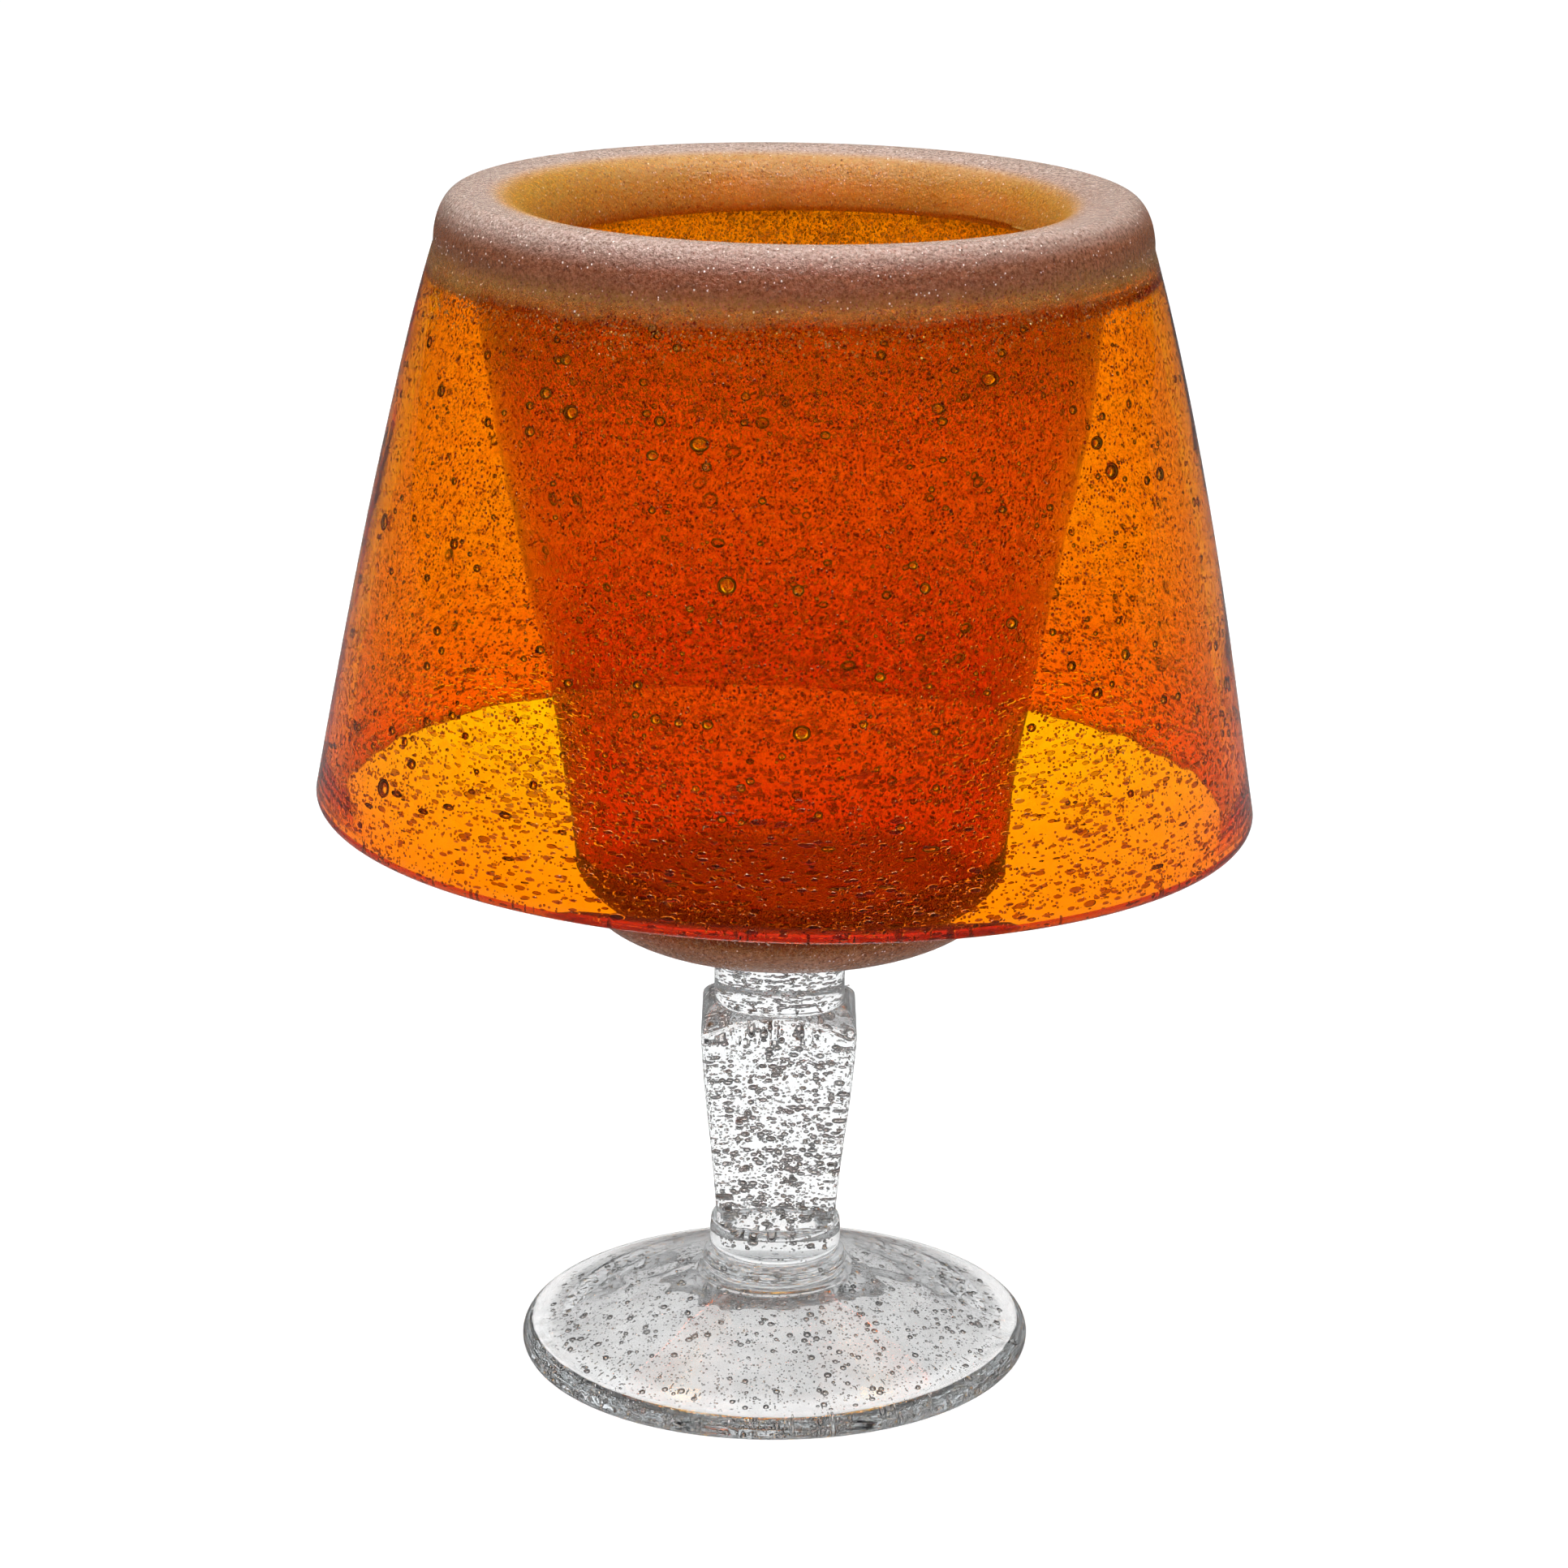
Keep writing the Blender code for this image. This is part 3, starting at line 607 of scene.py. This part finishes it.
cup = Glass()
cup.add_skin(*lathe(cup_profile(), SEG, cup_place))
wall_bubbles(cup, cup_outer, CUP_WALL, cup_place, (0.104, 0.200), 25, (0.0010, 0.0015), 3, rng, (0.5, 0.7))
wall_bubbles(cup, cup_outer, CUP_WALL, cup_place, (0.102, 0.204), 220, (0.00045, 0.0009), 2, rng, (0.6, 0.9))
wall_bubbles(cup, cup_outer, CUP_WALL, cup_place, (0.102, 0.205), 900, (0.00022, 0.00045), 1, rng, (0.7, 1.0))
cup_ob = cup.make("cup_glass", orange_cup)
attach(cup_ob, "goblet")
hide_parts("candle_cup")


# stem and foot: clear gathers fused into one run of glass
def foot_top(r):
    rim = FOOT_RADIUS - FOOT_RIM_HEIGHT / 2
    full = (FOOT_SEAT_Z - FOOT_RIM_HEIGHT) / (1.0 - (FOOT_SEAT_RADIUS / rim) ** FOOT_DOME_POWER)
    return FOOT_RIM_HEIGHT + full * (1.0 - (r / rim) ** FOOT_DOME_POWER)


def baluster_half(z):
    t = np.clip((z - COLLAR_TOP_Z) / (BALUSTER_SHOULDER_Z - COLLAR_TOP_Z), 0, 1)
    return BALUSTER_BOTTOM_HALF + (BALUSTER_TOP_HALF - BALUSTER_BOTTOM_HALF) * (t - 0.04 * np.sin(2 * np.pi * t))


def squircle(half, corner, a):
    """Radius of a rounded square at angle a."""
    c = half - corner
    ca, sa = np.abs(np.cos(a)), np.abs(np.sin(a))
    big, small = np.maximum(ca, sa), np.minimum(ca, sa)
    flat = half / big
    y = flat * small
    # on the corner arc: |p - (c, c)| = corner
    b = c * (big + small)
    q = b * b - (2 * c * c - corner * corner)
    roundr = b + np.sqrt(np.maximum(q, 0))
    return np.where(y <= c, flat, roundr)


def stem_rings():
    """(kind, radius or half width, corner, z) from the foot's underside, up the outside, to the neck's top."""
    half = FOOT_RIM_HEIGHT / 2
    rim = FOOT_RADIUS - half
    rows = []
    for t in np.linspace(0, 1, 24):
        r = FOOT_RING_INNER * t
        rows.append((0, r, 0, FOOT_HOLLOW_DEPTH * (1 - t * t)))
    rows.append((0, FOOT_RING_OUTER - 0.0004, 0, 0.0))
    for r, z in arc(rim, half, half, half, -58, 90, 24):
        rows.append((0, r, 0, z))
    for t in np.linspace(0, 1, 30)[1:]:
        r = rim + (FOOT_SEAT_RADIUS - rim) * t
        rows.append((0, r, 0, foot_top(r)))
    low = FOOT_SEAT_Z
    h = (MERESE_TOP_Z - low) / 2
    for r, z in arc(MERESE_RADIUS - h, low + h, h, h, -70, 66, 14):
        rows.append((0, r, 0, z))
    ch = COLLAR_TOP_Z - MERESE_TOP_Z
    for t, dr in ((0.0, -0.0007), (0.05, -0.0005), (0.12, -0.0001), (0.25, 0.0), (0.40, 0.0), (0.55, 0.0), (0.66, -0.0001)):
        rows.append((0, COLLAR_RADIUS + dr, 0, MERESE_TOP_Z + ch * t))
    for r, z in arc(COLLAR_RADIUS - 0.0016, COLLAR_TOP_Z - 0.0018, 0.0015, 0.0018, 10, 80, 8):
        rows.append((0, r, 0, z))
    for z in np.linspace(COLLAR_TOP_Z + 0.0003, BALUSTER_SHOULDER_Z, 50):
        rows.append((1, float(baluster_half(z)), BALUSTER_CORNER, z))
    rise = BALUSTER_TOP_Z - BALUSTER_SHOULDER_Z
    for i in range(1, 17):
        a = math.radians(90.0 * i / 16)
        hw = BALUSTER_TOP_HALF - (BALUSTER_TOP_HALF - NECK_RADIUS) * (1 - math.cos(a)) - 0.0003 * math.sin(a)
        corner = BALUSTER_CORNER + (hw * 0.96 - BALUSTER_CORNER) * float(smooth(i / 16))
        rows.append((1, hw, corner, BALUSTER_SHOULDER_Z + rise * math.sin(a)))
    for t in np.linspace(0.02, 1, 16):
        rows.append((0, NECK_RADIUS - 0.0001 * math.sin(math.pi * t) + 0.0003 * t * t, 0, BALUSTER_TOP_Z + (NECK_TOP_Z - BALUSTER_TOP_Z) * t))
    return rows


def stem_lean(x, y, z):
    f = smooth((z - FOOT_SEAT_Z) / (MERESE_TOP_Z - FOOT_SEAT_Z))
    g = smooth((z - BALUSTER_TOP_Z) / (NECK_TOP_Z - BALUSTER_TOP_Z))
    tx, ty, tz = leaning(x, y, z, PIVOT_Z, LEAN)
    lx = x + (z - PIVOT_Z) * math.tan(LEAN)
    sx, sz = tx * (1 - g) + lx * g, tz * (1 - g) + z * g
    return x * (1 - f) + sx * f + FOOT_X, y, z * (1 - f) + sz * f


def stem_skin(segments):
    a = np.linspace(0, 2 * np.pi, segments, endpoint=False)
    rows = stem_rings()
    verts, index = [], []
    n = 0
    for kind, r, corner, z in rows:
        aa = np.zeros(1) if r < 1e-6 else a
        rr = np.full(len(aa), r) if kind == 0 else squircle(r, corner, aa)
        x, y, zz = stem_lean(rr * np.cos(aa), rr * np.sin(aa), np.full(len(aa), z))
        verts.append(np.stack([x, y, zz], 1))
        index.append((n, len(aa)))
        n += len(aa)
    x, y, zz = stem_lean(np.zeros(1), np.zeros(1), np.full(1, NECK_TOP_Z))
    verts.append(np.stack([x, y, zz], 1))
    index.append((n, 1))
    faces = []
    for (sa, na), (sb, nb) in zip(index, index[1:]):
        for k in range(segments):
            m = (k + 1) % segments
            if na == 1:
                faces.append((sa, sb + m, sb + k))
            elif nb == 1:
                faces.append((sa + k, sa + m, sb))
            else:
                faces.append((sa + k, sa + m, sb + m, sb + k))
    return np.concatenate(verts), faces


def solid_bubbles(body, sampler, count, half, level, rng, stretch=None):
    pts, rad = sampler(count, rng, half)
    order = np.argsort(-rad)
    keep = np.array([order[i] for i in apart(pts[order], rad[order], rng)])
    axes = []
    for p, r in zip(pts[keep], rad[keep]):
        if stretch is None:
            m = np.diag(rng.uniform(0.85, 1.10, 3) * r)
        else:
            m = stretch(p, r)
        axes.append(m)
    body.add_bubbles(pts[keep], axes, level)
    return len(keep)


def in_baluster(count, rng, half):
    z = rng.uniform(COLLAR_TOP_Z - 0.005, BALUSTER_TOP_Z - 0.001, count)
    z = z + 0.0007 * np.sin(z * 2 * np.pi / 0.0031 + 1.0)
    r = half[0] + (half[1] - half[0]) * rng.uniform(0, 1, count) ** 2.0
    h = baluster_half(z) - r - 0.0006
    x, y = rng.uniform(-1, 1, count) * h, rng.uniform(-1, 1, count) * h
    x, y, z = stem_lean(x, y, z)
    return np.stack([x, y, z], 1), r


def in_foot(count, rng, half):
    r = rng.uniform(*half, count)
    rad = np.sqrt(rng.uniform(0.004, 0.0425, count) * 0.0425 + 0.0)
    rad = np.sqrt(rng.uniform(0, 1, count)) * 0.0425
    a = rng.uniform(0, 2 * np.pi, count)
    top = foot_top(np.maximum(rad, FOOT_SEAT_RADIUS)) - r - 0.0004
    under = np.where(rad < FOOT_RING_INNER, FOOT_HOLLOW_DEPTH * (1 - (rad / FOOT_RING_INNER) ** 2), 0) + r + 0.0004
    ok = top > under
    z = under + (top - under) * rng.uniform(0, 1, count)
    pts = np.stack([rad * np.cos(a) + FOOT_X, rad * np.sin(a), z], 1)
    return pts[ok], r[ok]


def in_neck(count, rng, half):
    z = rng.uniform(BALUSTER_TOP_Z - 0.001, NECK_TOP_Z - 0.0008, count)
    r = rng.uniform(*half, count)
    rad = np.sqrt(rng.uniform(0, 1, count)) * (NECK_RADIUS - r - 0.0006)
    a = rng.uniform(0, 2 * np.pi, count)
    x, y, z = stem_lean(rad * np.cos(a), rad * np.sin(a), z)
    return np.stack([x, y, z], 1), r


stem = Glass()
stem.add_skin(*stem_skin(SEG))
def lying(p, r):
    return np.diag((rng.uniform(1.0, 1.35) * r, rng.uniform(1.0, 1.35) * r, rng.uniform(0.60, 0.85) * r))


def near_rim(count, rng, half):
    r = rng.uniform(*half, count)
    rad = rng.uniform(0.0385, 0.0435, count)
    a = rng.uniform(0, 2 * np.pi, count)
    z = foot_top(rad) - rng.uniform(0.0006, 0.0020, count)
    return np.stack([rad * np.cos(a) + FOOT_X, rad * np.sin(a), z], 1), r


def drawn_out(p, r):
    a = math.atan2(p[1], p[0] - FOOT_X)
    out = np.array([math.cos(a), math.sin(a), -0.25])
    out /= np.linalg.norm(out)
    side = np.array([-math.sin(a), math.cos(a), 0.0])
    return np.array([out * r, side * min(r * 0.3, 0.00016), np.cross(out, side) * 0.00016])


solid_bubbles(stem, in_baluster, 540, (0.00038, 0.0008), 2, rng, lying)
solid_bubbles(stem, in_baluster, 2300, (0.00016, 0.00034), 1, rng, lying)
solid_bubbles(stem, in_foot, 520, (0.00022, 0.00072), 2, rng)
solid_bubbles(stem, in_foot, 3600, (0.00012, 0.00026), 1, rng)
solid_bubbles(stem, near_rim, 120, (0.00040, 0.0012), 1, rng, drawn_out)
solid_bubbles(stem, in_neck, 800, (0.00015, 0.00040), 1, rng, lying)
stem_ob = stem.make("stem_and_foot_glass", clear)
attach(stem_ob, "goblet")
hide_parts("stem_neck", "stem_baluster", "stem_collar", "foot_merese", "foot")


# ------------------------------------------------------------------ studio
def ray_mix(nt, through, mirrored, scattered):
    """A brightness: full for the camera, and one each for light through, off and scattered by the glass."""
    lp = nt.nodes.new("ShaderNodeLightPath")

    def pick(ray, value, rest):
        m = nt.nodes.new("ShaderNodeMix")
        m.data_type = "FLOAT"
        nt.links.new(lp.outputs[ray], m.inputs["Factor"])
        if hasattr(rest, "is_output"):
            nt.links.new(rest, m.inputs[2])
        else:
            m.inputs[2].default_value = rest
        m.inputs[3].default_value = value
        return m.outputs[0]

    return pick("Is Camera Ray", 1.0, pick("Is Diffuse Ray", scattered, pick("Is Reflection Ray", mirrored, through)))


def studio():
    bm = bmesh.new()
    bmesh.ops.create_circle(bm, cap_ends=True, cap_tris=False, segments=96, radius=7.0)
    mesh = bpy.data.meshes.new("studio_floor")
    bm.to_mesh(mesh)
    bm.free()
    mat = bpy.data.materials.new("studio_floor")
    mat.use_nodes = True
    nt = mat.node_tree
    p = nt.nodes["Principled BSDF"]
    p.inputs["Base Color"].default_value = (0.15, 0.15, 0.15, 1)
    p.inputs["Roughness"].default_value = 0.9
    p.inputs["Emission Color"].default_value = (1, 1, 1, 1)
    nt.links.new(ray_mix(nt, 1.15, 0.010, 0.80), p.inputs["Emission Strength"])
    mesh.materials.append(mat)
    ob = bpy.data.objects.new("studio_floor", mesh)
    ob.location = (0, 0, -0.00002)
    bpy.context.scene.collection.objects.link(ob)

    world = bpy.data.worlds.new("studio")
    world.use_nodes = True
    bpy.context.scene.world = world
    nt = world.node_tree
    nt.nodes.clear()
    out = nt.nodes.new("ShaderNodeOutputWorld")
    bg = nt.nodes.new("ShaderNodeBackground")
    tc = nt.nodes.new("ShaderNodeTexCoord")
    sep = nt.nodes.new("ShaderNodeSeparateXYZ")
    nt.links.new(tc.outputs["Generated"], sep.inputs[0])
    # pale up to the horizon and a half lit room above it for light that comes through the glass,
    # a dim room for what the glass mirrors, so that its colour isn't washed out
    rise = nt.nodes.new("ShaderNodeMapRange")
    rise.interpolation_type = "SMOOTHSTEP"
    rise.inputs["From Min"].default_value = 0.05
    rise.inputs["From Max"].default_value = 0.16
    rise.inputs["To Min"].default_value = 1.0
    rise.inputs["To Max"].default_value = 0.92
    nt.links.new(sep.outputs[2], rise.inputs["Value"])
    value = ray_mix(nt, rise.outputs["Result"], 0.012, 0.14)
    nt.links.new(value, bg.inputs["Color"])
    bg.inputs["Strength"].default_value = 1.0
    nt.links.new(bg.outputs[0], out.inputs[0])


def softbox(name, where, look_at, size, power):
    d = bpy.data.lights.new(name, "AREA")
    d.shape = "RECTANGLE"
    d.size, d.size_y = size
    d.energy = power
    ob = bpy.data.objects.new(name, d)
    ob.location = where
    ob.rotation_euler = (Vector(look_at) - Vector(where)).to_track_quat("-Z", "Y").to_euler()
    ob.visible_camera = False
    bpy.context.scene.collection.objects.link(ob)
    return ob


studio()
softbox("top_softbox", (0.0, 0.10, 1.3), (0, 0, 0.15), (1.1, 0.9), 27)

cam_data = bpy.data.cameras.new("camera")
cam_data.sensor_width = 36.0
cam_data.lens = 5579.3 * 36.0 / 1932.0
cam_data.clip_start = 0.02
cam = bpy.data.objects.new("camera", cam_data)
cam.location = (-0.0005, -0.80, 0.34486)
cam.rotation_euler = (math.radians(90 - 16.3313), 0, 0)
bpy.context.scene.collection.objects.link(cam)
bpy.context.scene.camera = cam

sc = bpy.context.scene
sc.view_settings.view_transform = "Standard"
sc.cycles.max_bounces = 24
sc.cycles.transmission_bounces = 24
sc.cycles.adaptive_threshold = 0.02
sc.cycles.time_limit = 720
sc.cycles.glossy_bounces = 8
sc.cycles.diffuse_bounces = 4
sc.cycles.transparent_max_bounces = 16
